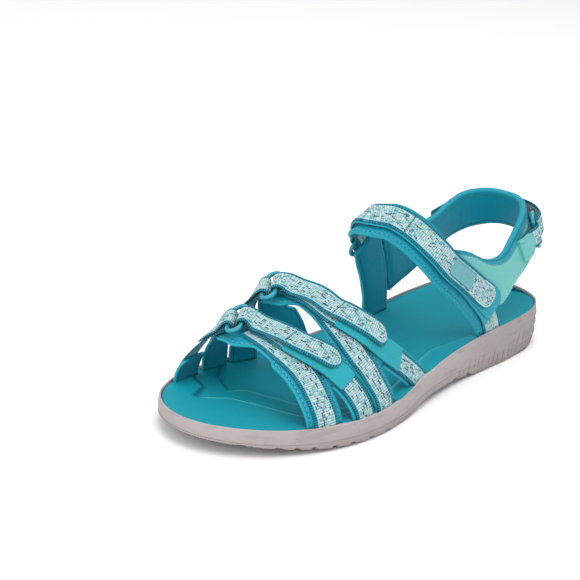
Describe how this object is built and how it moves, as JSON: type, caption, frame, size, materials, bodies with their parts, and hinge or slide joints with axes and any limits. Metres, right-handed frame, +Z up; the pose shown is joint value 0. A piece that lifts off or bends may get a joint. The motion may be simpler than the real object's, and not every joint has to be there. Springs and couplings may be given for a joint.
{
  "type": "strappy sport sandal",
  "caption": "Flat sport sandal for the left foot: moulded sole and footbed, crossed webbing straps, adjuster rings and hook-and-loop tabs at the toe, instep, ankle and heel.",
  "frame": {"origin": "middle of the bounding box in plan, on the ground under the sole", "axes": "+X towards the toe, +Y to the lateral side of a left foot, +Z up"},
  "size_m": [0.2656, 0.1006, 0.0925],
  "materials": {
    "sole_rubber": "matte taupe moulded rubber and foam",
    "footbed_foam": "matte teal moulded foam",
    "shank_plastic": "moulded nylon",
    "shock_foam": "soft foam",
    "insole_board": "fibre board",
    "ring_plastic": "moulded teal acetal",
    "quarter_synthetic": "smooth mint synthetic",
    "black_hook_tape": "black hook and loop tape",
    "teal_loop_tape": "teal hook and loop tape",
    "label_fabric": "woven label, plain pattern",
    "teal_lining": "padded knit with rolled edges",
    "webbing": "ribbed multicolour woven webbing, navy picot edge"
  },
  "bodies": {
    "root": {"toe_cross_lining": "teal_lining", "toe_cross_webbing_lateral": "webbing", "toe_cross_webbing_medial": "webbing", "toe_anchor_lining": "teal_lining", "toe_anchor_webbing": "webbing", "toe_strap_lining": "teal_lining", "toe_strap_webbing": "webbing", "toe_loop_patch": "teal_loop_tape", "instep_cross_lining": "teal_lining", "instep_cross_webbing_lateral": "webbing", "instep_cross_webbing_medial": "webbing", "instep_anchor_lining": "teal_lining", "instep_anchor_webbing": "webbing", "instep_strap_lining": "teal_lining", "instep_strap_webbing": "webbing", "instep_loop_patch": "teal_loop_tape", "ankle_strap_lining": "teal_lining", "ankle_strap_webbing": "webbing", "ankle_loop_patch": "teal_loop_tape", "ankle_anchor_lining": "teal_lining", "ankle_anchor_webbing": "webbing", "collar_lining": "teal_lining", "collar_binding": "teal_lining", "quarter_panel_lateral": "quarter_synthetic", "quarter_panel_medial": "quarter_synthetic", "heel_ring_webbing": "webbing", "heel_strap_webbing": "webbing", "heel_loop_patch": "black_hook_tape", "outsole": "sole_rubber", "shank": "shank_plastic", "heel_shock_pad": "shock_foam", "insole_board": "insole_board", "footbed": "footbed_foam", "midsole": "sole_rubber"},
    "toe_ring": {"toe_ring": "ring_plastic"},
    "toe_tab": {"toe_tab_webbing": "webbing", "toe_tab_hook_patch": "teal_loop_tape"},
    "instep_ring": {"instep_ring": "ring_plastic"},
    "instep_tab": {"instep_tab_webbing": "webbing", "instep_tab_hook_patch": "teal_loop_tape"},
    "heel_ring": {"heel_ring": "ring_plastic"},
    "heel_tab": {"heel_tab_webbing": "webbing", "heel_tab_hook_patch": "black_hook_tape"},
    "ankle_ring": {"ankle_ring": "ring_plastic"},
    "ankle_tab": {"ankle_tab_backing": "teal_lining", "ankle_tab_webbing": "webbing", "ankle_tab_label": "label_fabric"}
  },
  "joints": [
    {"name": "toe_ring_lift", "type": "hinge", "parent": "root", "child": "toe_ring", "pos_m": [0.08314, -0.02316, 0.04683], "axis": [0.8204, 0.5187, -0.2408], "range_deg": [0, 20]},
    {"name": "toe_tab_peel", "type": "hinge", "parent": "toe_ring", "child": "toe_tab", "pos_m": [0.07997, -0.0171, 0.04907], "axis": [0.8204, 0.5187, -0.2408], "range_deg": [0, 95]},
    {"name": "instep_ring_lift", "type": "hinge", "parent": "root", "child": "instep_ring", "pos_m": [0.05795, -0.02397, 0.05772], "axis": [0.8127, 0.5136, -0.2752], "range_deg": [0, 20]},
    {"name": "instep_tab_peel", "type": "hinge", "parent": "instep_ring", "child": "instep_tab", "pos_m": [0.05518, -0.01801, 0.06067], "axis": [0.8127, 0.5136, -0.2752], "range_deg": [0, 95]},
    {"name": "ankle_ring_lift", "type": "hinge", "parent": "root", "child": "ankle_ring", "pos_m": [-0.02783, -0.0285, 0.06356], "axis": [0.812, -0.0685, -0.5797], "range_deg": [0, 20]},
    {"name": "ankle_tab_peel", "type": "hinge", "parent": "ankle_ring", "child": "ankle_tab", "pos_m": [-0.02366, -0.02697, 0.06923], "axis": [0.812, -0.0685, -0.5797], "range_deg": [0, 95]},
    {"name": "heel_ring_lift", "type": "hinge", "parent": "root", "child": "heel_ring", "pos_m": [-0.10941, 0.02634, 0.06568], "axis": [-0.3952, 0.0804, -0.9151], "range_deg": [0, 20]},
    {"name": "heel_tab_peel", "type": "hinge", "parent": "heel_ring", "child": "heel_tab", "pos_m": [-0.11507, 0.0224, 0.06778], "axis": [-0.3952, 0.0804, -0.9151], "range_deg": [0, 95]}
  ]
}
